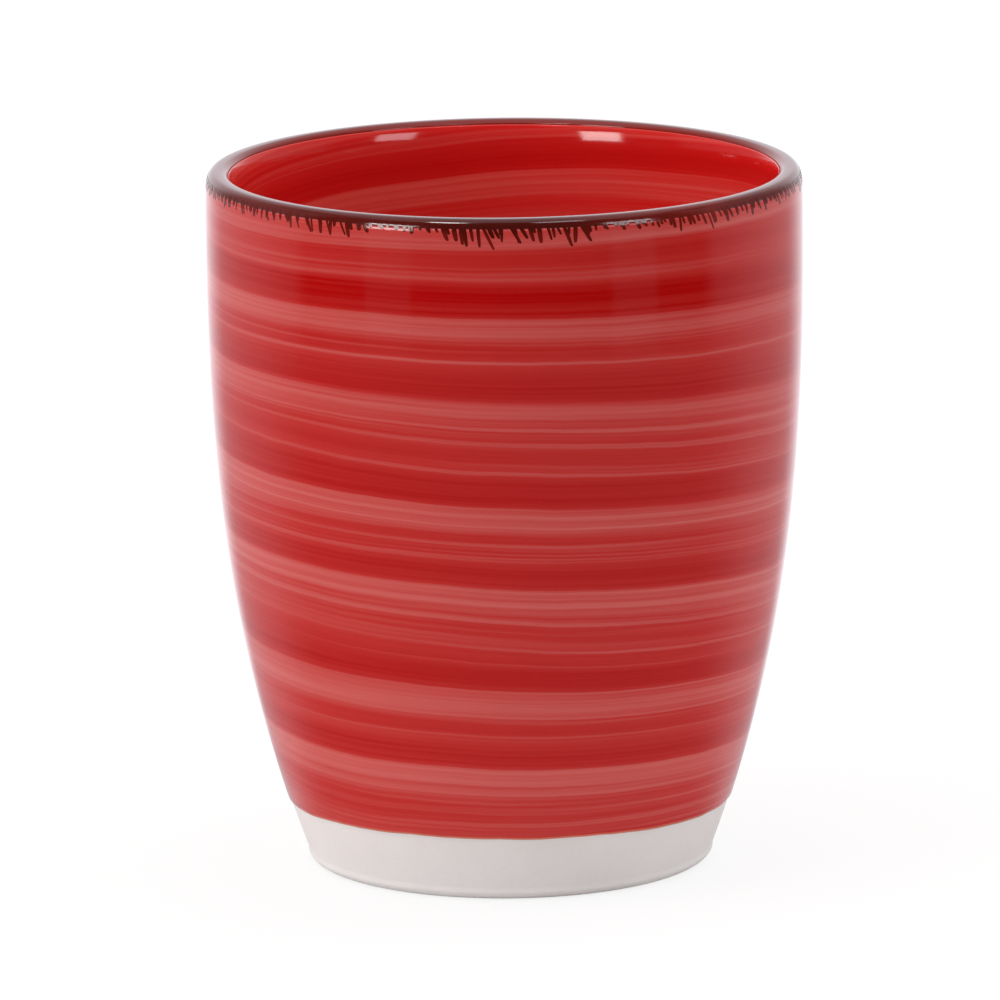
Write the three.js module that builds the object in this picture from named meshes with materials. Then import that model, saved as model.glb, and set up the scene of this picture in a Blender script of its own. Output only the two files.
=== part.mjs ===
// Handleless ceramic mug: a white fired body that stands on a bare foot ring, a red glaze
// brushed on outside and inside, and a band of brown oxide over the lip.
// Millimetres, +Z up, origin at the centre of the foot on the surface that the mug stands on.

import * as THREE from 'three';

// Outside of the finished mug
const height = 100.2;
const bellyRadius = 42.5; // the widest place, near the top
const bellyBelowTop = 7;
const lipDrawIn = 0.15; // the lip is this much narrower than the belly
const footRadius = 28.75; // where the line of the side would meet the table
const sidePower = 2.57; // 2 is an even curve, more keeps the upper wall straighter

// Wall, floor and foot
const lipThickness = 3.6; // across the glazed lip, which is fully rounded
const lowerWallThickness = 5.2; // clay alone, where the wall meets the floor
const floorThickness = 5.6; // clay alone, above the hollow of the foot
const floorCornerRadius = 10;
const footCornerRadius = 1.8;
const footRingWidth = 4.4;
const footHollowDepth = 2;
const footHollowLean = 1.2; // how far the hollow's side leans in over its depth

// Coats on the clay
const glazeThickness = 0.3;
const bareFootHeight = 9.3; // the glaze was wiped off below this
const bandOutside = 1.5; // the brown band ends this far below the top outside
const bandInside = 0.6; // and this far below it inside

// Faceting
const segments = 64;
const sideRings = 12;
const bandSteps = 5;
const shoulderSteps = 2;
const innerRings = 10;
const cornerSteps = 5;

// Worked-out places
const bellyHeight = height - bellyBelowTop;
const lipHalf = lipThickness / 2;
const lipCentreHeight = height - lipHalf;
const lipCentreRadius = bellyRadius - lipDrawIn - lipHalf;
const clayLipRadius = lipHalf - glazeThickness;
const floorHeight = footHollowDepth + floorThickness;
const bandStart = Math.asin(1 - bandOutside / lipHalf);
const bandEnd = Math.PI - Math.asin(1 - bandInside / lipHalf);

// Radius of the finished side at a height
function sideRadius(z) {
  if (z > bellyHeight) {
    return bellyRadius - lipDrawIn * ((z - bellyHeight) / (lipCentreHeight - bellyHeight)) ** 2;
  }
  return bellyRadius - (bellyRadius - footRadius) * (1 - z / bellyHeight) ** sidePower;
}

// Radius of the clay's outer face
function clayOuterRadius(z) {
  return sideRadius(z) - glazeThickness;
}

// Radius of the clay's inner face: the wall thickens evenly from the lip to the floor
function clayInnerRadius(z) {
  const down = (lipCentreHeight - z) / (lipCentreHeight - floorHeight);
  const wall = 2 * clayLipRadius + (lowerWallThickness - 2 * clayLipRadius) * down;
  return clayOuterRadius(z) - wall;
}

// Lean of a wall at a height, in radians from upright, positive where it widens upwards
function leanOf(radiusAt, z) {
  const step = 0.01;
  return Math.atan2(radiusAt(z + step) - radiusAt(z - step), 2 * step);
}

// A place on the clay's face and the direction in which the face looks, from +R towards +Z
function place(r, z, facing) {
  return { r, z, facing };
}

// Evenly spaced values from one end to the other, both ends included
function stepped(from, to, steps) {
  return Array.from({ length: steps + 1 }, (_, i) => from + ((to - from) * i) / steps);
}

// Places along the outside of the wall
function outerPlaces(from, to, rings) {
  return stepped(from, to, rings).map((z) => {
    return place(clayOuterRadius(z), z, -leanOf(clayOuterRadius, z));
  });
}

// Places along the inside of the wall
function innerPlaces(from, to, rings) {
  return stepped(from, to, rings).map((z) => {
    return place(clayInnerRadius(z), z, Math.PI - leanOf(clayInnerRadius, z));
  });
}

// Places over the rounded lip, by angle: 0 looks straight out, a quarter turn up, a half turn in
function lipPlaces(from, to, steps) {
  return stepped(from, to, steps).map((turn) => {
    const r = lipCentreRadius + clayLipRadius * Math.cos(turn);
    return place(r, lipCentreHeight + clayLipRadius * Math.sin(turn), turn);
  });
}

// Rounded corner where a leaning wall comes down to a level floor
function cornerPlaces(radiusAt, level, radius) {
  const lean = leanOf(radiusAt, level + radius / 2);
  const top = level + radius * (1 - Math.sin(lean));
  const centreRadius = radiusAt(top) - radius * Math.cos(lean);
  return stepped(lean, Math.PI / 2, cornerSteps).map((turn) => {
    const r = centreRadius + radius * Math.cos(turn);
    return place(r, level + radius * (1 - Math.sin(turn)), Math.PI - turn);
  });
}

// The clay's face under each coat
const footCorner = cornerPlaces(clayOuterRadius, 0, footCornerRadius);
const floorCorner = cornerPlaces(clayInnerRadius, floorHeight, floorCornerRadius);
const outsideFace = [
  ...outerPlaces(bareFootHeight, lipCentreHeight, sideRings),
  ...lipPlaces(0, bandStart, 1).slice(1),
];
const bandFace = lipPlaces(bandStart, bandEnd, bandSteps);
const insideFace = [
  ...lipPlaces(bandEnd, Math.PI, shoulderSteps).slice(0, -1),
  ...innerPlaces(lipCentreHeight, floorCorner[0].z, innerRings).slice(0, -1),
  ...floorCorner,
  place(0, floorHeight, Math.PI / 2),
];

function clayPoint({ r, z }) {
  return new THREE.Vector2(r, z);
}

function glazePoint({ r, z, facing }) {
  const glazedRadius = r > 0 ? r + glazeThickness * Math.cos(facing) : 0;
  return new THREE.Vector2(glazedRadius, z + glazeThickness * Math.sin(facing));
}

// A solid turned about the mug's axis from points in R and Z
function turned(name, points, material) {
  const geometry = new THREE.LatheGeometry(points, segments);
  geometry.rotateX(Math.PI / 2);
  const mesh = new THREE.Mesh(geometry, material);
  mesh.name = name;
  return mesh;
}

// A coat: one face lies on the clay, the other stands off it by the glaze's thickness
function coat(name, face, material) {
  const line = [...face.map(clayPoint).reverse(), ...face.map(glazePoint)];
  if (line[0].x > 0) {
    line.push(line[0]);
  }
  return turned(name, line, material);
}

// White clay: foot ring round a shallow hollow, bare foot, wall, rounded lip, inside and floor
function clayBody(name, material) {
  const ringOuter = footCorner[cornerSteps].r;
  const ringInner = ringOuter - footRingWidth;
  const line = [
    new THREE.Vector2(0, footHollowDepth),
    new THREE.Vector2(ringInner - footHollowLean, footHollowDepth),
    new THREE.Vector2(ringInner, 0),
    ...footCorner.map(clayPoint).reverse(),
    ...outsideFace.map(clayPoint),
    ...bandFace.slice(1).map(clayPoint),
    ...insideFace.slice(1).map(clayPoint),
  ];
  return turned(name, line, material);
}

const bareClay = new THREE.MeshStandardMaterial({ color: 0xdcd3cf, roughness: 0.8, metalness: 0 });
const redOutside = new THREE.MeshStandardMaterial({ color: 0xb8302c, roughness: 0.12, metalness: 0 });
const redInside = new THREE.MeshStandardMaterial({ color: 0xa81814, roughness: 0.12, metalness: 0 });
const brownOxide = new THREE.MeshStandardMaterial({ color: 0x4e1c16, roughness: 0.15, metalness: 0 });

const mug = new THREE.Group();
mug.add(
  clayBody('clay_body', bareClay),
  coat('outer_red_glaze', outsideFace, redOutside),
  coat('brown_rim_band', bandFace, brownOxide),
  coat('inner_red_glaze', insideFace, redInside),
);

export default mug;
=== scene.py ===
"""Handleless ceramic mug: white fired clay, red glaze brushed on in one long winding stroke,
a band of brown oxide over the lip and a bare foot. Metres, +Z up, the mug's front towards -Y."""

import math

import bpy
from mathutils import Matrix, Vector


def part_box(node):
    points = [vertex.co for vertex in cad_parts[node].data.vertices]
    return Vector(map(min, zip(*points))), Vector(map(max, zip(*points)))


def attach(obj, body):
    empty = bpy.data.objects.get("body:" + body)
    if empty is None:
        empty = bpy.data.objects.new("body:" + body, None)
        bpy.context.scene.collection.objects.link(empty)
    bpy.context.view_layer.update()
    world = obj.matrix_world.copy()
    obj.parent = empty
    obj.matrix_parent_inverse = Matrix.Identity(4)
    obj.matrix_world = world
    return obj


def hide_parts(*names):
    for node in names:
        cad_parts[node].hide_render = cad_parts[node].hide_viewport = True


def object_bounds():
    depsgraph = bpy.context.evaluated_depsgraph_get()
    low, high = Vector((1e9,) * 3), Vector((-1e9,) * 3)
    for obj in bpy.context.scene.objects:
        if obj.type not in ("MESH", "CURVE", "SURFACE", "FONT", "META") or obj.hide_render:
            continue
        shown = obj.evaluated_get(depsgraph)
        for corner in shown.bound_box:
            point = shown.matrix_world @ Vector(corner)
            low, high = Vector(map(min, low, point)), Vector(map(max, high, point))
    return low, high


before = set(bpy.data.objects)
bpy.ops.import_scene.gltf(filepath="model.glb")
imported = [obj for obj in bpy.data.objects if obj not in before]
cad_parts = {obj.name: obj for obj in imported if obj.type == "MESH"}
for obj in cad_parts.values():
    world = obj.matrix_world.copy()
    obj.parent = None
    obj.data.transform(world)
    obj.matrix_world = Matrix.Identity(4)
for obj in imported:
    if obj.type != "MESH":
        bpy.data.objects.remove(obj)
cad_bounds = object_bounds()


# Studio
# A pale table top in a pale light tent that is open in front, with a soft key light at the left,
# a weaker fill at the right and four soft boxes that show only in the gloss. The table throws
# more light up near the mug, and the camera looks down a little at the mug's front.


class Wire:
    """One socket of a node tree. Arithmetic on it adds Math nodes."""

    def __init__(self, board, socket):
        self.board = board
        self.socket = socket

    def __add__(self, other):
        return self.board.math("ADD", self, other)

    def __radd__(self, other):
        return self.board.math("ADD", other, self)

    def __sub__(self, other):
        return self.board.math("SUBTRACT", self, other)

    def __rsub__(self, other):
        return self.board.math("SUBTRACT", other, self)

    def __mul__(self, other):
        return self.board.math("MULTIPLY", self, other)

    def __rmul__(self, other):
        return self.board.math("MULTIPLY", other, self)

    def __truediv__(self, other):
        return self.board.math("DIVIDE", self, other)


class Board:
    """A node tree that is being wired."""

    def __init__(self, tree):
        self.tree = tree

    def node(self, kind, settings, sockets, output=None):
        """Adds a node: its settings first, then the values or links of its sockets, by name."""
        made = self.tree.nodes.new(kind)
        for name, value in settings.items():
            if name == "stops":
                self.set_stops(made.color_ramp, value)
            else:
                setattr(made, name, value)
        for name, value in sockets.items():
            socket = made.inputs[name] if isinstance(name, int) else self.named(made.inputs, name)
            if isinstance(value, Wire):
                self.tree.links.new(value.socket, socket)
            else:
                socket.default_value = value
        if output is None:
            return made
        return Wire(self, self.named(made.outputs, output))

    def named(self, sockets, name):
        return next(s for s in sockets if s.enabled and s.name == name)

    def set_stops(self, ramp, stops):
        while len(ramp.elements) < len(stops):
            ramp.elements.new(1)
        for element, (position, colour) in zip(ramp.elements, stops):
            element.position = position
            element.color = (*colour, 1)

    def math(self, operation, *values):
        sockets = dict(enumerate(values))
        return self.node("ShaderNodeMath", {"operation": operation}, sockets, "Value")

    def vector_math(self, operation, *vectors, **sockets):
        sockets.update(enumerate(vectors))
        return self.node("ShaderNodeVectorMath", {"operation": operation}, sockets, "Vector")

    def noise(self, place, scale, detail=2):
        sockets = {"Vector": place, "Scale": scale, "Detail": detail}
        return self.node("ShaderNodeTexNoise", {}, sockets, "Fac")

    def parts(self, vector):
        """The X, Y and Z of a vector."""
        split = self.node("ShaderNodeSeparateXYZ", {}, {"Vector": vector})
        return [Wire(self, split.outputs[axis]) for axis in "XYZ"]

    def ease(self, value, start, end):
        """0 up to start, 1 from end on, and a smooth rise between them."""
        settings = {"interpolation_type": "SMOOTHSTEP"}
        sockets = {"Value": value, "From Min": start, "From Max": end}
        return self.node("ShaderNodeMapRange", settings, sockets, "Result")


CAMERA_DISTANCE = 1.5
CAMERA_ELEVATION = math.radians(11.91)
CAMERA_ROLL = math.radians(0.60)
CAMERA_LENS = 377.35
CAMERA_LEFT = 0.00104
CAMERA_UP = 0.00165

TABLE_HALF = 2.0
TABLE_DROP = 0.00005
TABLE_COLOUR = (0.58, 0.575, 0.57)
LIT_TABLE = (0.82, 0.815, 0.81)
DIM_TABLE = (0.30, 0.298, 0.295)
LIT_REACH = (0.06, 0.30)
SHADOW_SHARE = 0.3
WHITE_TABLE = 1.12
TABLE_EDGE = (0.37, 0.45)
TABLE_GLOW_FRONT = 0.31
TABLE_GLOW_BACK = 0.7
FRONT_TO_BACK = (-0.3, 0.3)
STRAIGHT_BACK = (0.7, 0.93)
POOL_GLOW = 0.22
POOLS = ((-44, 9), (49, 9))  # degrees from the mug's front: each one's middle and half width

TENT_OPENING = (0.05, 0.22)
TENT_WALLS = (0.5, 0.8)
BACKDROP_HALF = (0.4, 0.75)
CEILING_END = math.radians(68)
CEILING_BLUR = 0.03
CEILING_PART = (0.15, 0.55)
CEILING_DIMMING = 0.4
OPENING_GLOW = 0.03
TENT_GLOW = 0.3
BACK_GLOW = 1.25
SOFT_LIGHT = 0.95
HIGH_LIGHT = 1.4
HIGH_PART = (0.2, 0.6)
FRONT_DIMMING = 0.9

PURE_WHITE = (1, 1, 1)
WARM_WHITE = (1, 0.97, 0.95)
COOL_WHITE = (0.93, 0.95, 1)

low, high = cad_bounds
mug_centre = (Vector(low) + Vector(high)) / 2


def place_camera():
    forward = Vector((0, math.cos(CAMERA_ELEVATION), -math.sin(CAMERA_ELEVATION)))
    level_up = Vector((0, math.sin(CAMERA_ELEVATION), math.cos(CAMERA_ELEVATION)))
    level_right = Vector((1, 0, 0))
    right = level_right * math.cos(CAMERA_ROLL) - level_up * math.sin(CAMERA_ROLL)
    up = level_up * math.cos(CAMERA_ROLL) + level_right * math.sin(CAMERA_ROLL)
    data = bpy.data.cameras.new("camera")
    data.lens = CAMERA_LENS
    camera = bpy.data.objects.new("camera", data)
    bpy.context.scene.collection.objects.link(camera)
    turned = Matrix((right, up, -forward)).transposed().to_4x4()
    place = mug_centre - forward * CAMERA_DISTANCE - right * CAMERA_LEFT + up * CAMERA_UP
    camera.matrix_world = Matrix.Translation(place) @ turned
    bpy.context.scene.camera = camera


def new_material(name):
    material = bpy.data.materials.new(name)
    material.use_nodes = True
    material.node_tree.nodes.clear()
    return material, Board(material.node_tree)


def object_position(board):
    return board.node("ShaderNodeTexCoord", {}, {}, "Object")


def light_path(board, output):
    return board.node("ShaderNodeLightPath", {}, {}, output)


def solid(colour):
    return (*colour, 1)


def blend(board, share, first, second):
    """Colour first where share is 0, second where it is 1."""
    sockets = {"Factor": share, "A": first, "B": second}
    return board.node("ShaderNodeMix", {"data_type": "RGBA"}, sockets, "Result")


def table_glow(board, place, distance):
    """How bright the table looks in the mug's gloss: dark past its front edge but for two pools."""
    x, y = board.parts(place)[:2]
    forward = y * -1 / distance
    azimuth = board.math("ARCTAN2", x, y * -1) * (180 / math.pi)
    dark = board.ease(distance, *TABLE_EDGE) * board.ease(forward, *TENT_OPENING)
    pools = 0
    for middle, half in POOLS:
        away = board.math("ABSOLUTE", azimuth - middle)
        pools = pools + (1 - board.ease(away, half - 1, half + 1)) * POOL_GLOW
    near = board.ease(forward, *FRONT_TO_BACK) * (TABLE_GLOW_FRONT - TABLE_GLOW_BACK) + TABLE_GLOW_BACK
    near = near + board.ease(forward * -1, *STRAIGHT_BACK) * (BACK_GLOW - TABLE_GLOW_BACK)
    return near + dark * (pools + OPENING_GLOW - near)


def make_table():
    mesh = bpy.data.meshes.new("table")
    corners = [(-1, -1), (1, -1), (1, 1), (-1, 1)]
    corners = [(x * TABLE_HALF, y * TABLE_HALF, -TABLE_DROP) for x, y in corners]
    mesh.from_pydata(corners, [], [(0, 1, 2, 3)])
    table = bpy.data.objects.new("table", mesh)
    bpy.context.scene.collection.objects.link(table)
    material, board = new_material("pale_table")
    camera = light_path(board, "Is Camera Ray")
    place = object_position(board)
    distance = board.node("ShaderNodeVectorMath", {"operation": "LENGTH"}, {0: place}, "Value")
    # Painted light: for bounced light the table is written lighter near the mug and darker further off,
    # a painted pool of light that lights the mug's lower side.
    bounce = blend(board, board.ease(distance, *LIT_REACH), solid(LIT_TABLE), solid(DIM_TABLE))
    colour = blend(board, camera, bounce, solid(TABLE_COLOUR))
    matt = board.node("ShaderNodeBsdfDiffuse", {}, {"Color": colour}, "BSDF")
    sockets = {"Color": solid(COOL_WHITE), "Strength": table_glow(board, place, distance)}
    picture = board.node("ShaderNodeEmission", {}, sockets, "Emission")
    sockets = {0: light_path(board, "Is Glossy Ray"), 1: matt, 2: picture}
    matt = board.node("ShaderNodeMixShader", {}, sockets, "Shader")
    sockets = {"Color": solid(PURE_WHITE), "Strength": WHITE_TABLE}
    white = board.node("ShaderNodeEmission", {}, sockets, "Emission")
    seen = camera * (1 - SHADOW_SHARE)
    mixed = board.node("ShaderNodeMixShader", {}, {0: seen, 1: matt, 2: white}, "Shader")
    board.node("ShaderNodeOutputMaterial", {}, {"Surface": mixed})
    mesh.materials.append(material)


def make_tent():
    world = bpy.data.worlds.new("light_tent")
    world.use_nodes = True
    world.node_tree.nodes.clear()
    board = Board(world.node_tree)
    direction = board.node("ShaderNodeTexCoord", {}, {}, "Generated")
    x, y, upward = board.parts(direction)
    sideways = board.math("ABSOLUTE", x)
    forward = y * -1
    walls = (1 - board.ease(forward, *TENT_OPENING)) * (1 - board.ease(upward, *TENT_WALLS))
    behind = upward * math.cos(CEILING_END) - forward * math.sin(CEILING_END)
    back = board.ease(behind, -CEILING_BLUR, CEILING_BLUR) * (1 - board.ease(sideways, *BACKDROP_HALF))
    gloss = OPENING_GLOW + TENT_GLOW * walls
    bright = BACK_GLOW * (1 - board.ease(upward, *CEILING_PART) * CEILING_DIMMING)
    gloss = gloss + back * (bright - gloss)
    glossy = light_path(board, "Is Glossy Ray")
    camera = light_path(board, "Is Camera Ray")
    around = SOFT_LIGHT * (1 - forward * FRONT_DIMMING)
    soft = around + board.ease(upward, *HIGH_PART) * (HIGH_LIGHT - around)
    light = soft + glossy * (gloss - soft)
    strength = light + camera * (1 - light)
    colour = blend(board, glossy, solid(PURE_WHITE), solid(COOL_WHITE))
    sockets = {"Color": colour, "Strength": strength}
    background = board.node("ShaderNodeBackground", {}, sockets, "Background")
    board.node("ShaderNodeOutputWorld", {}, {"Surface": background})
    bpy.context.scene.world = world


def add_lamp(name, turn, elevation, distance, width, height, glow, colour, gloss_only):
    """A soft box that faces the lip, placed by its angles in degrees from the mug's front and
    from level. glow is its brightness beside a white wall's."""
    data = bpy.data.lights.new(name, "AREA")
    data.shape = "RECTANGLE"
    data.size = width
    data.size_y = height
    data.energy = glow * math.pi * width * height
    data.color = colour
    lamp = bpy.data.objects.new(name, data)
    bpy.context.scene.collection.objects.link(lamp)
    turn = math.radians(turn)
    elevation = math.radians(elevation)
    level = math.cos(elevation)
    outward = Vector((math.sin(turn) * level, -math.cos(turn) * level, math.sin(elevation)))
    lip_centre = Vector((0, 0, high[2]))
    turned = outward.to_track_quat("Z", "Y").to_matrix().to_4x4()
    lamp.matrix_world = Matrix.Translation(lip_centre + outward * distance) @ turned
    lamp.visible_camera = False
    lamp.visible_diffuse = not gloss_only
    lamp.visible_glossy = gloss_only


bpy.context.scene.view_settings.view_transform = "Standard"
place_camera()
make_table()
make_tent()
add_lamp("key_light", -68, 30, 1.1, 0.8, 0.8, 2.4, WARM_WHITE, False)
add_lamp("fill_light", 118, 25, 1.1, 0.8, 0.8, 0.9, COOL_WHITE, False)
add_lamp("left_box", -44, 14, 0.8, 0.25, 0.27, 14, WARM_WHITE, True)
add_lamp("right_box", 49, 18, 0.8, 0.25, 0.24, 7, COOL_WHITE, True)
add_lamp("left_high_box", -32, 58, 0.8, 0.14, 0.12, 18, WARM_WHITE, True)
add_lamp("right_high_box", 30, 58, 0.8, 0.2, 0.1, 6, COOL_WHITE, True)


# Fired clay body
# White clay, turned and dried, bare on the foot and underneath: a foot ring round a shallow
# hollow. Everything above the foot lies under glaze. One profile line is turned about the axis.

LIP_THICKNESS = 0.0036
OUTER_LIP_WIDTH = 0.0017
OUTER_LIP_DROP = 0.0034
INNER_LIP_DROP = 0.0050
LIP_FLATNESS = 0.62
BELLY_BELOW_TOP = 0.007
LIP_DRAW_IN = 0.00015
FOOT_RADIUS = 0.02875
SIDE_POWER = 2.57
GLAZE = 0.0003
LOWER_WALL = 0.0058
LIP_FLARE = 0.0006
LIP_FLARE_DEPTH = 0.005
FLOOR_CORNER = 0.0097
BARE_FOOT = 0.0092
FOOT_CORNER = 0.0018
RING_WIDTH = 0.0044
RING_CORNER = 0.0008
HOLLOW_CORNER = 0.0016
HOLLOW_DEPTH = 0.002

BAND_OUTSIDE = 0.0013
BAND_INSIDE = 0.0007

UNEVENNESS = 0.00006
UNEVEN_SCALE = 28
EDGE_WANDER = 0.0008
EDGE_SWING = 0.00042
EDGE_TURN = 0.6
EDGE_REACH = 0.004
EDGE_RING = 1.7
EDGE_SCALE = 1.6

STEPS_ROUND = 256
WALL_STEP = 0.0008
LIP_STEPS = 12
BAND_INSIDE_STEPS = 8
FLOOR_CORNER_STEPS = 16
FOOT_CORNER_STEPS = 10
RING_CORNER_STEPS = 8
HIDDEN_SHARE = 0.03

CLAY_COLOUR = (0.70, 0.665, 0.658)
CLAY_SHADE = (0.64, 0.60, 0.59)
CLAY_IOR = 1.45
CLAY_ROUGHNESS = 0.72
GRAIN_ROUGHNESS = 0.2
GRAIN_SCALE = 2600
GRAIN_DEPTH = 0.00006
GRAIN_STRENGTH = 0.25
CLOUD_SCALE = 90
CLOUDS = (0.35, 0.75)
CLOUD_SHARE = 0.5
SPECKS = (0.56, 0.72)
SPECK_SHARE = 0.35

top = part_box("brown_rim_band")[1].z
belly_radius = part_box("outer_red_glaze")[1].x
floor_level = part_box("inner_red_glaze")[0].z + GLAZE
belly_height = top - BELLY_BELOW_TOP
inner_lip_width = LIP_THICKNESS - OUTER_LIP_WIDTH


def side_radius(z):
    """The finished outside at a height, before the lip is rounded."""
    if z > belly_height:
        return belly_radius - LIP_DRAW_IN * ((z - belly_height) / BELLY_BELOW_TOP) ** 2
    return belly_radius - (belly_radius - FOOT_RADIUS) * (1 - z / belly_height) ** SIDE_POWER


def inner_radius(z):
    """The finished inside at a height: it flares at the lip, then the wall thickens evenly."""
    down = (top - z) / (top - floor_level)
    flare = LIP_FLARE * (1 - math.exp((z - top) / LIP_FLARE_DEPTH))
    return side_radius(z) - LIP_THICKNESS - flare - (LOWER_WALL - LIP_THICKNESS - LIP_FLARE) * down


def spread(start, end, count):
    """Evenly spread values in so many steps, with both ends."""
    return [start + (end - start) * i / count for i in range(count + 1)]


def spaced(start, end, step):
    """Evenly spread values about one step apart, with both ends."""
    return spread(start, end, max(1, round(abs(end - start) / step)))


def outer_lip(turn):
    """A rounded shoulder that is a little flatter on top than a quarter of an ellipse."""
    z = top - OUTER_LIP_DROP * (1 - math.sin(turn) ** LIP_FLATNESS)
    return side_radius(z) - OUTER_LIP_WIDTH * (1 - math.cos(turn) ** LIP_FLATNESS), z


def inner_lip(turn):
    z = top - INNER_LIP_DROP * (1 - math.sin(turn) ** LIP_FLATNESS)
    return inner_radius(z) + inner_lip_width * (1 - math.cos(turn) ** LIP_FLATNESS), z


def arc(centre, radius, start, end, steps):
    """Points of an arc in radius and height. An angle of 0 looks outwards, a quarter turn up."""
    turns = spread(start, end, steps)
    return [(centre[0] + radius * math.cos(t), centre[1] + radius * math.sin(t)) for t in turns]


quarter = math.pi / 2
band_start = math.asin((1 - BAND_OUTSIDE / OUTER_LIP_DROP) ** (1 / LIP_FLATNESS))
band_end = math.asin((1 - BAND_INSIDE / INNER_LIP_DROP) ** (1 / LIP_FLATNESS))


def outer_skin():
    """The red glaze's outside, from the bare foot up to the brown band."""
    wall = [(side_radius(z), z) for z in spaced(BARE_FOOT, top - OUTER_LIP_DROP, WALL_STEP)]
    lip = [outer_lip(turn) for turn in spread(0, band_start, LIP_STEPS // 2)]
    return wall + lip[1:]


def band_skin():
    """The brown band's face, over the top of the lip."""
    outside = [outer_lip(turn) for turn in spread(band_start, quarter, LIP_STEPS)]
    inside = [inner_lip(turn) for turn in spread(quarter, band_end, BAND_INSIDE_STEPS)]
    return outside + inside[1:]


def inner_skin():
    """The red glaze inside, from the brown band down the wall and over the floor."""
    lip = [inner_lip(turn) for turn in spread(band_end, 0, LIP_STEPS)]
    low_wall = floor_level + FLOOR_CORNER
    lean = math.atan2(inner_radius(low_wall) - inner_radius(low_wall - WALL_STEP), WALL_STEP)
    corner_top = floor_level + FLOOR_CORNER * (1 - math.sin(lean))
    wall = [(inner_radius(z), z) for z in spaced(lip[-1][1], corner_top, WALL_STEP)]
    centre = (wall[-1][0] - FLOOR_CORNER * math.cos(lean), floor_level + FLOOR_CORNER)
    corner = arc(centre, FLOOR_CORNER, -lean, -quarter, FLOOR_CORNER_STEPS)
    floor = [(r, floor_level) for r in spaced(centre[0], 0, WALL_STEP * 2)]
    return lip + wall[1:] + corner[1:] + floor[1:]


def set_in(line, depth):
    """The line moved off to its right-hand side, which lies inside the mug's wall."""
    moved = []
    for i, (r, z) in enumerate(line):
        before = line[max(i - 1, 0)]
        after = line[min(i + 1, len(line) - 1)]
        run = math.hypot(after[0] - before[0], after[1] - before[1])
        along = ((after[0] - before[0]) / run, (after[1] - before[1]) / run)
        moved.append((max(r - depth * along[1], 0) if r > 0 else 0, z + depth * along[0]))
    return moved


def foot_line():
    """The bare clay from the middle of the hollow to the place where the glaze starts."""
    outer = side_radius(FOOT_CORNER) - GLAZE
    lean = math.atan2(side_radius(2 * FOOT_CORNER) - side_radius(0), 2 * FOOT_CORNER)
    corner_centre = (outer - FOOT_CORNER * math.cos(lean), FOOT_CORNER)
    corner = arc(corner_centre, FOOT_CORNER, -quarter, -lean, FOOT_CORNER_STEPS)
    ring_inner = corner[0][0] - RING_WIDTH
    ring_centre = (ring_inner + RING_CORNER, RING_CORNER)
    ring = arc(ring_centre, RING_CORNER, -2 * quarter, -quarter, RING_CORNER_STEPS)
    hollow_centre = (ring_inner - HOLLOW_CORNER, HOLLOW_DEPTH - HOLLOW_CORNER)
    hollow = arc(hollow_centre, HOLLOW_CORNER, quarter, 0, RING_CORNER_STEPS)
    middle = [(r, HOLLOW_DEPTH) for r in spaced(0, hollow_centre[0], WALL_STEP * 3)]
    flat = [(r, 0) for r in spaced(ring[-1][0], corner[0][0], WALL_STEP)]
    side = [(side_radius(z) - GLAZE, z) for z in spaced(corner[-1][1], BARE_FOOT, WALL_STEP / 2)]
    return middle[:-1] + hollow + ring + flat[1:-1] + corner + side[1:]


edge_slope = (side_radius(BARE_FOOT) - side_radius(BARE_FOOT - WALL_STEP)) / WALL_STEP


def geometry_tree(name, inputs):
    """A Geometry Nodes tree with its inputs named, ready to be wired."""
    tree = bpy.data.node_groups.new(name, "GeometryNodeTree")
    for label, kind in inputs.items():
        tree.interface.new_socket(label, in_out="INPUT", socket_type="NodeSocket" + kind)
    tree.interface.new_socket("Piece", in_out="OUTPUT", socket_type="NodeSocketGeometry")
    return Board(tree)


def given(board, name):
    """The value that the tree is given under this name."""
    return board.node("NodeGroupInput", {}, {}, name)


def stored(board, shape, name, value, data_type="FLOAT", domain="POINT"):
    """The shape, with a value kept under this name at each of its points or corners."""
    settings = {"data_type": data_type, "domain": domain}
    sockets = {"Geometry": shape, "Name": name, "Value": value}
    return board.node("GeometryNodeStoreNamedAttribute", settings, sockets, "Geometry")


def kept(board, name):
    """The value that is kept under this name."""
    settings = {"data_type": "FLOAT"}
    return board.node("GeometryNodeInputNamedAttribute", settings, {"Name": name}, "Attribute")


def handed_over(board, shape):
    """Ends the tree: the piece comes out as one plain mesh in its finish."""
    shape = board.node("GeometryNodeRealizeInstances", {}, {"Geometry": shape}, "Geometry")
    finish = {"Geometry": shape, "Material": given(board, "Finish")}
    shape = board.node("GeometryNodeSetMaterial", {}, finish, "Geometry")
    board.node("NodeGroupOutput", {}, {"Piece": shape})
    return board.tree


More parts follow.
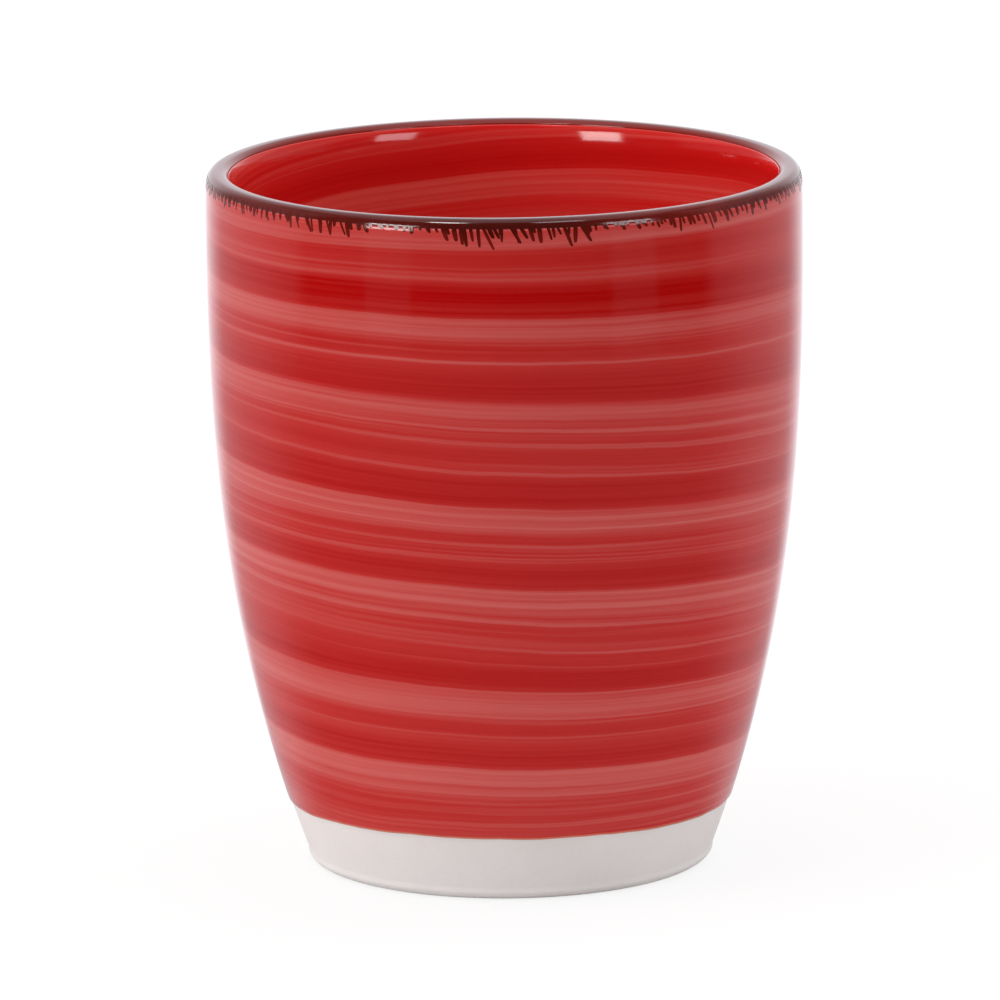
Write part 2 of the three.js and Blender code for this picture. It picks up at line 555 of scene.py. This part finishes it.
def turning_tree():
    """Geometry Nodes that turn a profile line in the XZ plane about the axis, as on a wheel."""
    board = geometry_tree("turn_on_wheel", {
        "Profile": "Geometry",
        "Steps round": "Int",
        "Unevenness": "Float",
        "Edge wander": "Float",
        "Edge swing": "Float",
        "Finish": "Material",
    })
    profile = given(board, "Profile")
    steps = given(board, "Steps round")
    points = board.node("GeometryNodeAttributeDomainSize", {}, {"Geometry": profile}, "Point Count")
    size = {"Vertices X": steps + 1, "Vertices Y": points}
    grid = board.node("GeometryNodeMeshGrid", {}, size, "Mesh")
    index = board.node("GeometryNodeInputIndex", {}, {}, "Index")
    column = board.math("FLOOR", (index + 0.5) / points)
    row = index - column * points
    turn = column / steps

    def sampled(value, data_type="FLOAT"):
        sockets = {"Geometry": profile, "Value": value, "Index": row}
        return board.node("GeometryNodeSampleIndex", {"data_type": data_type}, sockets, "Value")

    position = board.node("GeometryNodeInputPosition", {}, {}, "Position")
    spun = {"Vector": sampled(position, "FLOAT_VECTOR"), "Angle": turn * (2 * math.pi)}
    around = board.node("ShaderNodeVectorRotate", {"rotation_type": "Z_AXIS"}, spun, "Vector")
    shape = board.node("GeometryNodeSetPosition", {}, {"Geometry": grid, "Position": around}, "Geometry")
    shape = stored(board, shape, "travel", sampled(kept(board, "travel")))
    across = {"X": turn, "Y": sampled(kept(board, "unwrap"))}
    unwrapped = board.node("ShaderNodeCombineXYZ", {}, across, "Vector")
    shape = stored(board, shape, "OFBake", unwrapped, "FLOAT2", "CORNER")

    uneven = board.noise(position, UNEVEN_SCALE, 1) - 1
    outward = board.vector_math("MULTIPLY", position, (1, 1, 0))
    outward = board.vector_math("NORMALIZE", outward)
    push = board.vector_math("SCALE", outward, Scale=uneven * given(board, "Unevenness"))
    ring = board.vector_math("SCALE", outward, Scale=EDGE_RING)
    wander = (board.noise(ring, EDGE_SCALE, 3) - 0.5) * given(board, "Edge wander")
    swing = board.math("COSINE", turn * (4 * math.pi) + EDGE_TURN) * given(board, "Edge swing")
    wander = (wander - swing) * sampled(kept(board, "wander"))
    slide = board.vector_math("SCALE", outward, Scale=wander * edge_slope)
    rise = board.node("ShaderNodeCombineXYZ", {}, {"Z": wander}, "Vector")
    moved = board.vector_math("ADD", push, board.vector_math("ADD", slide, rise))
    shape = board.node("GeometryNodeSetPosition", {}, {"Geometry": shape, "Offset": moved}, "Geometry")
    joined = {"Geometry": shape, "Distance": 1e-6}
    shape = board.node("GeometryNodeMergeByDistance", {}, joined, "Geometry")
    faces = board.node("GeometryNodeInputMeshEdgeNeighbors", {}, {}, "Face Count")
    loose = {"Geometry": shape, "Selection": board.math("LESS_THAN", faces, 1)}
    shape = board.node("GeometryNodeDeleteGeometry", {"domain": "EDGE"}, loose, "Geometry")
    shape = board.node("GeometryNodeSetShadeSmooth", {}, {"Geometry": shape}, "Geometry")
    return handed_over(board, shape)


wheel = turning_tree()


def finished(piece, tree, values):
    """Runs a Geometry Nodes tree on the piece and keeps the result as its plain mesh."""
    modifier = piece.modifiers.new(tree.name, "NODES")
    modifier.node_group = tree
    for item in tree.interface.items_tree:
        if item.name in values:
            modifier[item.identifier] = values[item.name]
    depsgraph = bpy.context.evaluated_depsgraph_get()
    made = piece.evaluated_get(depsgraph)
    mesh = bpy.data.meshes.new_from_object(made, preserve_all_data_layers=True, depsgraph=depsgraph)
    piece.modifiers.clear()
    piece.data = mesh


def distances(line):
    """How far along the line each of its points lies."""
    run = [0.0]
    for here, before in zip(line[1:], line):
        run.append(run[-1] + math.dist(here, before))
    return run


def picture_places(run, seen):
    """Places up the picture that the finish is baked to: the seen face takes nearly all of it."""
    hidden = run[-1] - seen
    return [
        s / seen * (1 - HIDDEN_SHARE) if s <= seen else 1 - HIDDEN_SHARE * (run[-1] - s) / hidden
        for s in run
    ]


def turned_piece(name, face, back, material, wiped=False):
    """A closed piece turned from its seen face, listed first, and the line that closes it."""
    line = face + back
    mesh = bpy.data.meshes.new(name)
    mesh.from_pydata([(r, 0, z) for r, z in line], [(i, i + 1) for i in range(len(line) - 1)], [])
    run = distances(line)
    values = {
        "travel": run,
        "unwrap": picture_places(run, run[len(face) - 1]),
        "wander": [max(0, 1 - abs(z - BARE_FOOT) / EDGE_REACH) for r, z in line],
    }
    for kind, numbers in values.items():
        mesh.attributes.new(kind, "FLOAT", "POINT").data.foreach_set("value", numbers)
    piece = bpy.data.objects.new(name, mesh)
    bpy.context.scene.collection.objects.link(piece)
    finished(piece, wheel, {
        "Steps round": STEPS_ROUND,
        "Unevenness": UNEVENNESS,
        "Edge wander": EDGE_WANDER if wiped else 0.0,
        "Edge swing": EDGE_SWING if wiped else 0.0,
        "Finish": material,
    })
    return piece


def bare_clay():
    material, board = new_material("bare_clay")
    position = object_position(board)
    cloud = board.noise(position, CLOUD_SCALE, 4)
    grain = board.noise(position, GRAIN_SCALE)
    shade = board.ease(cloud, *CLOUDS) * CLOUD_SHARE + board.ease(grain, *SPECKS) * SPECK_SHARE
    colour = blend(board, shade, solid(CLAY_COLOUR), solid(CLAY_SHADE))
    sockets = {"Strength": GRAIN_STRENGTH, "Distance": GRAIN_DEPTH, "Height": grain}
    bump = board.node("ShaderNodeBump", {}, sockets, "Normal")
    roughness = CLAY_ROUGHNESS + grain * GRAIN_ROUGHNESS
    sockets = {"Base Color": colour, "Roughness": roughness, "IOR": CLAY_IOR, "Normal": bump}
    surface = board.node("ShaderNodeBsdfPrincipled", {}, sockets, "BSDF")
    board.node("ShaderNodeOutputMaterial", {}, {"Surface": surface})
    return material


def every(line, step):
    """Every so many points of a line, with both of its ends."""
    return line[:-1:step] + line[-1:]


def make_clay_body():
    glazed = outer_skin() + band_skin()[1:] + inner_skin()[1:]
    under_glaze = every(set_in(glazed, GLAZE), 3)
    body = turned_piece("fired_clay", foot_line(), under_glaze[1:], bare_clay())
    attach(body, "root")
    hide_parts("clay_body")


make_clay_body()


# Red glaze outside
# Red glaze laid on with a wide brush while the mug turned, so one stroke winds down the side.
# Along each turn it is washed thin at the top and pools deep red above a sharp lower edge.

STROKE_PITCH = 13.415
FIRST_EDGE = 19.77
PAIR_SHIFT = 0.83
LEVELLING = 1.6
LEVEL_MIDDLE = 52
LEVEL_REACH = 34
TURNS_ABOVE = 5.0
WASH_ALONG = (0.52, 0.9, 0.95, 0.6, 1.0, 0.7, 0.98, 1.0)
WASH_START = (0.46, 0.58, 0.52, 0.54, 0.58, 0.52, 0.68, 0.60)
POOL_ALONG = (0.45, 1.1, 0.9, 0.8, 0.9, 1.0, 1.2, 1.0)
LINE_ALONG = (0.9, 0.3, 0.0, 0.0, 0.0, 0.0, 0.0, 0.0)
STREAK_ALONG = (0.32, 0.1, 0.0, 0.0, 0.0, 0.0, 0.0, 0.0)
LINE_EDGES = ((0.1, 0.17), (0.3, 0.37))
STREAK_EDGES = ((0.33, 0.4), (0.46, 0.56))
EDGE_WOBBLE = (1.2, 1.6, 1, 7.7)  # scale along and across the stroke, detail, slice of the noise
WIDE_STREAKS = (1.6, 7, 2, 1.3)
FINE_STREAKS = (2.6, 30, 4, 4.1)
HAIR_LINES = (1.3, 16, 0, 12.9)
HAIR_PART = (0.56, 0.72)
HAIR_PLACE = (0.18, 0.35)
WASH_RISE = 0.28
WASH_WOBBLE = 0.25
WASH_END = (0.94, 1.0)
WASH_END_DIMMING = 0.45
PALER_LEFT_SIDE = 0.22
POOL_END = (0.08, 0.42)
POOL_WOBBLE = 0.4
POOL_EDGE = (0.0, 0.07)
POOL_EDGE_SHARE = 0.35
POOL_DEPTH = 0.38
WASH_DEPTH = 0.36
WIDE_DEPTH = 0.8
FINE_DEPTH = 0.6
HAIR_DEPTH = 0.22
SWAY = 0.12
SWAY_SCALE = 16
RIPPLE = 0.025
RIPPLE_SCALE = 110
# Painted shade: how much deeper the red is written per millimetre up the side.
PAINTED_SHADE_BY_HEIGHT = 0.0015
WASHED_RED = (0.550, 0.100, 0.090)
MEDIUM_RED = (0.468, 0.022, 0.019)
DEEP_RED = (0.395, 0.0018, 0.0015)
EDGE_ORANGE = (0.60, 0.20, 0.13)
EDGE_THINS = (0.00035, 0.0008)
EDGE_SHARE = 0.8
EDGE_ROUND = 0.00045
EDGE_STEPS = 6
GLAZE_IOR = 1.4
GLAZE_ROUGHNESS = 0.07
ROUGHNESS_SWAY = 0.05
RELIEF_DEPTH = 0.0002
RELIEF_STRENGTH = 0.04
STROKE_RELIEF = 0.25
FILM_SCALE = 260


def stroke_wires(board, height, turn, bend):
    """Where a place lies in the winding stroke: the share of the way up it, and the way along it."""
    whole = height + turn + bend
    number = board.math("FLOOR", whole)
    return whole - number, turn - number


def streaks(board, along, across, lengthwise, crosswise, detail, shift):
    """Noise drawn out along the stroke, as brush hairs leave it."""
    drawn_out = {"X": along * lengthwise, "Y": across * crosswise, "Z": shift}
    place = board.node("ShaderNodeCombineXYZ", {}, drawn_out, "Vector")
    sockets = {"Vector": place, "Scale": 1, "Detail": detail, "Roughness": 0.6}
    return board.node("ShaderNodeTexNoise", {}, sockets, "Fac")


def along_stroke(board, along, amounts):
    """An amount that changes smoothly from turn to turn of the stroke, listed from the top down."""
    stops = [(i / (len(amounts) - 1), (amount / 2,) * 3) for i, amount in enumerate(amounts)]
    settings = {"stops": stops}
    share = (along + TURNS_ABOVE) / (len(amounts) - 1)
    return board.node("ShaderNodeValToRGB", settings, {"Fac": share}, "Color") * 2


def stripe(board, across, start, end):
    """1 between two edges, each given as where its change starts and ends, and 0 outside them."""
    return board.ease(across, *start) * (1 - board.ease(across, *end))


def stroke_strength(board, across, along):
    """How much glaze lies there, from 0, washed thin, to 1, pooled deep."""
    wobble = streaks(board, along, across, *EDGE_WOBBLE) - 0.5
    wide = streaks(board, along, across, *WIDE_STREAKS) - 0.5
    fine = streaks(board, along, across, *FINE_STREAKS) - 0.5
    hair = board.ease(streaks(board, along, across, *HAIR_LINES), *HAIR_PART)
    beyond = across + wobble * WASH_WOBBLE - along_stroke(board, along, WASH_START)
    washed = board.ease(beyond, 0, WASH_RISE) * along_stroke(board, along, WASH_ALONG)
    washed = washed * (1 - board.ease(across, *WASH_END) * WASH_END_DIMMING)
    # The glaze is written paler on the mug's left and deeper on its right, the same in every turn.
    washed = washed * (1 - board.math("SINE", along * (2 * math.pi)) * PALER_LEFT_SIDE)
    pooled = 1 - board.ease(across + wobble * POOL_WOBBLE, *POOL_END)
    pooled = pooled * along_stroke(board, along, POOL_ALONG)
    pooled = pooled * (POOL_EDGE_SHARE + board.ease(across, *POOL_EDGE) * (1 - POOL_EDGE_SHARE))
    line = stripe(board, across, *LINE_EDGES)
    pooled = pooled + line * along_stroke(board, along, LINE_ALONG)
    streak = stripe(board, across, *STREAK_EDGES)
    washed = washed + streak * along_stroke(board, along, STREAK_ALONG)
    hair = hair * board.ease(across, *HAIR_PLACE)
    brushed = wide * WIDE_DEPTH + fine * FINE_DEPTH - hair * HAIR_DEPTH
    return 0.5 + pooled * POOL_DEPTH - washed * WASH_DEPTH + brushed


def red_colour(board, strength):
    stops = [(0.0, WASHED_RED), (0.5, MEDIUM_RED), (1.0, DEEP_RED)]
    return board.node("ShaderNodeValToRGB", {"stops": stops}, {"Fac": strength}, "Color")


def turn_wire(board, position):
    """The share of a turn from the mug's front, positive to the right."""
    x, y = board.parts(position)[:2]
    return board.math("ARCTAN2", x, y * -1) / (2 * math.pi)


def attribute(board, name):
    return board.node("ShaderNodeAttribute", {"attribute_name": name}, {}, "Fac")


def glaze_output(board, colour, relief, sway):
    film = board.noise(object_position(board), FILM_SCALE)
    sockets = {"Strength": RELIEF_STRENGTH, "Distance": RELIEF_DEPTH, "Height": relief + film}
    bump = board.node("ShaderNodeBump", {}, sockets, "Normal")
    roughness = GLAZE_ROUGHNESS + sway * ROUGHNESS_SWAY
    sockets = {"Base Color": colour, "Roughness": roughness, "IOR": GLAZE_IOR, "Normal": bump}
    surface = board.node("ShaderNodeBsdfPrincipled", {}, sockets, "BSDF")
    board.node("ShaderNodeOutputMaterial", {}, {"Surface": surface})


def red_glaze_outside():
    material, board = new_material("red_glaze_outside")
    position = object_position(board)
    height = board.parts(position)[2] * 1000
    turn = turn_wire(board, position)
    ends = (height - LEVEL_MIDDLE) / LEVEL_REACH
    levelled = ends * ends * board.math("SINE", turn * (2 * math.pi)) * LEVELLING
    steps = (height - FIRST_EDGE) / STROKE_PITCH
    pair = board.math("COSINE", steps * math.pi) * (PAIR_SHIFT / STROKE_PITCH)
    sway = board.noise(position, SWAY_SCALE)
    ripple = board.noise(position, RIPPLE_SCALE)
    bend = (sway - 0.5) * SWAY + (ripple - 0.5) * RIPPLE - pair - levelled / STROKE_PITCH
    across, along = stroke_wires(board, steps, turn, bend)
    # The red is painted deeper towards the top and paler towards the foot: painted shade, standing in
    # for more light reaching the lower side.
    strength = stroke_strength(board, across, along) + (height - LEVEL_MIDDLE) * PAINTED_SHADE_BY_HEIGHT
    thin = 1 - board.ease(attribute(board, "travel"), *EDGE_THINS)
    colour = blend(board, thin * EDGE_SHARE, red_colour(board, strength), solid(EDGE_ORANGE))
    glaze_output(board, colour, strength * STROKE_RELIEF, sway)
    return material


def rounded_edge(skin, inside):
    """The quarter round by which the wiped glaze ends on the clay, from the clay outwards."""
    clay_r, clay_z = inside[0]
    next_r, next_z = inside[1]
    skin_r, skin_z = skin[0]
    edge = []
    for turn in spread(0, quarter, EDGE_STEPS)[:-1]:
        up = EDGE_ROUND / WALL_STEP * (1 - math.cos(turn))
        out = math.sin(turn)
        r = clay_r + (next_r - clay_r) * up + (skin_r - clay_r) * out
        edge.append((r, clay_z + (next_z - clay_z) * up + (skin_z - clay_z) * out))
    return edge


def make_outer_glaze():
    skin = outer_skin()
    inside = set_in(skin, GLAZE)
    face = rounded_edge(skin, inside) + skin[1:]
    back = every(inside[::-1], 4)
    piece = turned_piece("outer_glaze", face, back, red_glaze_outside(), wiped=True)
    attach(piece, "root")
    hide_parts("outer_red_glaze")
    return piece


outer_glaze = make_outer_glaze()


# Red glaze inside
# The same red glaze, brushed on inside from the lip to the middle of the floor. The stroke
# winds down the wall and then inwards over the floor. Its reds are painted lighter than the
# outside's and paler still further down: painted light against the shade inside the mug.

INSIDE_PITCH = 12.0
INSIDE_EDGE = 13.2
INSIDE_SWAY = 0.25
INSIDE_SWAY_SCALE = 18
# Painted light inside: how much paler the red is written between these millimetres down from the brown
# band.
INSIDE_PAINTED_LIGHT = 0.2
PAINTED_LIGHT_DEPTHS = (5, 15)
# The inside reds are written lighter than the outside's: painted light against the shade inside the mug.
INSIDE_WASHED = (0.60, 0.060, 0.050)
INSIDE_MEDIUM = (0.55, 0.013, 0.011)
INSIDE_DEEP = (0.455, 0.0035, 0.0035)


def red_glaze_inside():
    material, board = new_material("red_glaze_inside")
    position = object_position(board)
    travel = attribute(board, "travel") * 1000
    sway = board.noise(position, INSIDE_SWAY_SCALE)
    steps = (INSIDE_EDGE - travel) / INSIDE_PITCH
    bend = (sway - 0.5) * INSIDE_SWAY
    across, along = stroke_wires(board, steps, turn_wire(board, position), bend)
    # Further down the inside the red is painted paler: painted light against the shade that falls inside
    # the mug.
    strength = stroke_strength(board, across, along) - board.ease(travel, *PAINTED_LIGHT_DEPTHS) * INSIDE_PAINTED_LIGHT
    stops = [(0.0, INSIDE_WASHED), (0.45, INSIDE_MEDIUM), (1.0, INSIDE_DEEP)]
    colour = board.node("ShaderNodeValToRGB", {"stops": stops}, {"Fac": strength}, "Color")
    glaze_output(board, colour, 0, sway)
    return material


def make_inner_glaze():
    skin = inner_skin()
    back = every(set_in(skin, GLAZE)[::-1], 4)
    piece = turned_piece("inner_glaze", skin, back + skin[:1], red_glaze_inside())
    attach(piece, "root")
    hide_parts("inner_red_glaze")


make_inner_glaze()


# Brown band over the lip
# Brown oxide brushed over the rounded lip. It is glossier than the red, and thins to a warmer
# brown in places round the lip and along its inner edge.

BROWN = (0.052, 0.0036, 0.0018)
THIN_BROWN = (0.155, 0.010, 0.006)
INNER_BROWN = (0.20, 0.012, 0.007)
BROWN_IOR = 1.55
BROWN_ROUGHNESS = 0.06
CLOUD_ROUGHNESS = 0.07
OXIDE_SCALE = 420
THIN_LEAST = 0.45
THIN_CLOUDS = 0.9
THIN_PLACES = (  # degrees from the mug's front, and how far the brown has thinned there
    (-180, 0.6),
    (-90, 0.6),
    (-45, 0.5),
    (-22, 0.35),
    (-5, 0.1),
    (10, 0.15),
    (28, 0.7),
    (42, 1.0),
    (55, 0.5),
    (90, 0.6),
    (180, 0.6),
)


def brown_mix(board):
    """The oxide's colour, and the clouding that its gloss follows too."""
    position = object_position(board)
    cloud = board.noise(position, OXIDE_SCALE, 3)
    stops = [((angle + 180) / 360, (amount,) * 3) for angle, amount in THIN_PLACES]
    sockets = {"Fac": turn_wire(board, position) + 0.5}
    thin = board.node("ShaderNodeValToRGB", {"stops": stops}, sockets, "Color")
    thin = thin * (THIN_LEAST + cloud * THIN_CLOUDS)
    return blend(board, thin, solid(BROWN), solid(THIN_BROWN)), cloud


def brown_output(board, colour, cloud, ior):
    roughness = BROWN_ROUGHNESS + cloud * CLOUD_ROUGHNESS
    sockets = {"Base Color": colour, "Roughness": roughness, "IOR": ior}
    surface = board.node("ShaderNodeBsdfPrincipled", {}, sockets, "BSDF")
    board.node("ShaderNodeOutputMaterial", {}, {"Surface": surface})


def brown_oxide_glaze():
    material, board = new_material("brown_oxide_glaze")
    colour, cloud = brown_mix(board)
    run = distances(band_skin())
    inner_half = board.ease(attribute(board, "travel"), run[LIP_STEPS], run[-1])
    brown_output(board, blend(board, inner_half, colour, solid(INNER_BROWN)), cloud, BROWN_IOR)
    return material


def make_rim_band():
    skin = band_skin()
    back = set_in(skin, GLAZE)[::-1]
    piece = turned_piece("rim_band", skin, back + skin[:1], brown_oxide_glaze())
    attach(piece, "root")
    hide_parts("brown_rim_band")
    return piece


rim_band = make_rim_band()


# Brush marks under the brown band
# Where the brush left the lip it dragged the wet oxide down over the red in short slanting
# marks. They lie two hundredths of a millimetre proud, in bunches, and fade at their tips.

MARK_COUNT = 330
MARK_LENGTH = 0.0034
MARK_WIDTHS = (0.0004, 0.0009)
MARK_HEIGHT = 0.00002
MARK_START = 0.0006
MARK_SHARES = (0.22, 0.92)
MARK_SLANTS = (-0.05, 0.6)
MARK_FADINGS = (0.2, 1.3)
MARK_JITTER = 0.45
MARK_SEGMENTS = (6, 8)
MARK_TAPER = 0.12
TIP_LEAST = 0.02
TIP_BLUNTNESS = 0.35
ROUND_TOP = 0.35
SHARP_FOLD = 0.3
MARK_SEED = 3
MARK_BUNCHES = (  # degrees from the mug's front, and the share of the longest mark there
    (-180, 0.35),
    (-120, 0.60),
    (-75, 0.42),
    (-52, 0.45),
    (-33, 0.75),
    (-24, 0.12),
    (-18, 0.30),
    (-5, 0.95),
    (4, 0.62),
    (13, 1.00),
    (17, 0.20),
    (27, 0.36),
    (40, 0.78),
    (60, 0.52),
    (90, 0.58),
    (140, 0.70),
    (180, 0.35),
)
FADED_BROWN = (0.20, 0.008, 0.006)
FIRST_FADE = (0.0, 0.0009)
FIRST_FADE_SHARE = 0.6
LAST_FADE = (0.0007, 0.0028)
LAST_FADE_SHARE = 0.8


def dragged_oxide():
    material, board = new_material("dragged_oxide")
    colour, cloud = brown_mix(board)
    fade = attribute(board, "fade")
    first = board.ease(fade, *FIRST_FADE) * FIRST_FADE_SHARE
    last = board.ease(fade, *LAST_FADE) * LAST_FADE_SHARE
    colour = blend(board, first, colour, solid(THIN_BROWN))
    colour = blend(board, last, colour, solid(FADED_BROWN))
    brown_output(board, colour, cloud, GLAZE_IOR)
    return material


def marks_tree():
    """Geometry Nodes that lay drawn-out drops on the glaze, one beside another round the lip."""
    board = geometry_tree("lay_brush_marks", {
        "Drop": "Geometry",
        "Glaze": "Object",
        "Band": "Object",
        "Count": "Int",
        "Longest": "Float",
        "Narrowest": "Float",
        "Widest": "Float",
        "Height": "Float",
        "Top": "Float",
        "Seed": "Int",
        "Finish": "Material",
    })

    def chance(least, most, shift):
        sockets = {"Min": least, "Max": most, "Seed": given(board, "Seed") + shift}
        return board.node("FunctionNodeRandomValue", {"data_type": "FLOAT"}, sockets, "Value")

    index = board.node("GeometryNodeInputIndex", {}, {}, "Index")
    heap = {"Count": given(board, "Count"), "Offset": (0, 0, 0)}
    spots = board.node("GeometryNodeMeshLine", {}, heap, "Mesh")
    share = (index + chance(-MARK_JITTER, MARK_JITTER, 0)) / given(board, "Count")
    stops = [((angle + 180) / 360, (reach,) * 3) for angle, reach in MARK_BUNCHES]
    bunch = board.node("ShaderNodeValToRGB", {"stops": stops}, {"Fac": share}, "Color")
    values = {
        "mark_turn": share - 0.5,
        "mark_length": bunch * chance(*MARK_SHARES, 1) * given(board, "Longest") + MARK_START,
        "mark_width": chance(given(board, "Narrowest"), given(board, "Widest"), 2),
        "mark_slant": chance(*MARK_SLANTS, 3),
        "mark_fading": chance(*MARK_FADINGS, 4),
    }
    for name, value in values.items():
        spots = stored(board, spots, name, value)
    laid = {"Points": spots, "Instance": given(board, "Drop")}
    drops = board.node("GeometryNodeInstanceOnPoints", {}, laid, "Instances")
    drops = board.node("GeometryNodeRealizeInstances", {}, {"Geometry": drops}, "Geometry")

    position = board.node("GeometryNodeInputPosition", {}, {}, "Position")
    side, back, up = board.parts(position)
    down = (1 - back) * 0.5
    ends = board.math("MAXIMUM", down * (1 - down) * 4, TIP_LEAST)
    blunt = board.math("POWER", ends, -TIP_BLUNTNESS)
    across = side * blunt * kept(board, "mark_width") * (0.5 - down * MARK_TAPER)
    fall = down * kept(board, "mark_length")
    drift = across + fall * kept(board, "mark_slant")
    angle = kept(board, "mark_turn") * (2 * math.pi) + drift / belly_radius
    height = given(board, "Top") - fall
    sine = board.math("SINE", angle)
    cosine = board.math("COSINE", angle)
    outside = {"X": sine * (2 * belly_radius), "Y": cosine * (-2 * belly_radius), "Z": height}
    outside = board.node("ShaderNodeCombineXYZ", {}, outside, "Vector")
    inward = board.node("ShaderNodeCombineXYZ", {}, {"X": sine * -1, "Y": cosine}, "Vector")
    skin = board.node("GeometryNodeJoinGeometry", {}, {})
    for name in ("Glaze", "Band"):
        surface = board.node("GeometryNodeObjectInfo", {}, {"Object": given(board, name)}, "Geometry")
        board.tree.links.new(surface.socket, skin.inputs["Geometry"])
    cast = {
        "Target Geometry": Wire(board, skin.outputs["Geometry"]),
        "Source Position": outside,
        "Ray Direction": inward,
        "Ray Length": 2 * belly_radius,
    }
    hit = board.node("GeometryNodeRaycast", {}, cast)
    sunk = board.math("MINIMUM", up, 0)
    proud = (1 + up * ROUND_TOP + sunk * (2 - ROUND_TOP)) * given(board, "Height")
    lifted = board.vector_math("SCALE", Wire(board, hit.outputs["Hit Normal"]), Scale=proud)
    place = board.vector_math("ADD", Wire(board, hit.outputs["Hit Position"]), lifted)
    drops = stored(board, drops, "fade", (fall - MARK_START) * kept(board, "mark_fading"))
    drops = board.node("GeometryNodeSetPosition", {}, {"Geometry": drops, "Position": place}, "Geometry")
    drops = board.node("GeometryNodeSetShadeSmooth", {}, {"Geometry": drops}, "Geometry")
    fold = board.node("GeometryNodeInputMeshEdgeAngle", {}, {}, "Unsigned Angle")
    sharp = board.math("GREATER_THAN", fold, SHARP_FOLD)
    edges = {"Geometry": drops, "Selection": sharp, "Shade Smooth": False}
    drops = board.node("GeometryNodeSetShadeSmooth", {"domain": "EDGE"}, edges, "Geometry")
    return handed_over(board, drops)


def round_drop():
    """A ball of few faces with its tips on the Y axis, from which every mark is drawn out."""
    around, lengthwise = MARK_SEGMENTS
    points = [(0, 1, 0)]
    for tilt in spread(0, math.pi, lengthwise)[1:-1]:
        for k in range(around):
            turn = 2 * math.pi * (k + 0.5) / around
            level = math.sin(tilt)
            points.append((level * math.cos(turn), math.cos(tilt), level * math.sin(turn)))
    points.append((0, -1, 0))
    last_ring = len(points) - 1 - around
    faces = []
    for k in range(around):
        beside = (k + 1) % around
        faces.append((0, 1 + beside, 1 + k))
        for ring in range(1, last_ring, around):
            below = ring + around
            faces.append((ring + beside, below + beside, below + k, ring + k))
        faces.append((last_ring + k, last_ring + beside, len(points) - 1))
    mesh = bpy.data.meshes.new("brush_marks")
    mesh.from_pydata(points, [], faces)
    return mesh


def make_brush_marks():
    piece = bpy.data.objects.new("brush_marks", round_drop())
    bpy.context.scene.collection.objects.link(piece)
    finished(piece, marks_tree(), {
        "Glaze": outer_glaze,
        "Band": rim_band,
        "Count": MARK_COUNT,
        "Longest": MARK_LENGTH,
        "Narrowest": MARK_WIDTHS[0],
        "Widest": MARK_WIDTHS[1],
        "Height": MARK_HEIGHT,
        "Top": top - BAND_OUTSIDE + MARK_START,
        "Seed": MARK_SEED,
        "Finish": dragged_oxide(),
    })
    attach(piece, "root")


make_brush_marks()
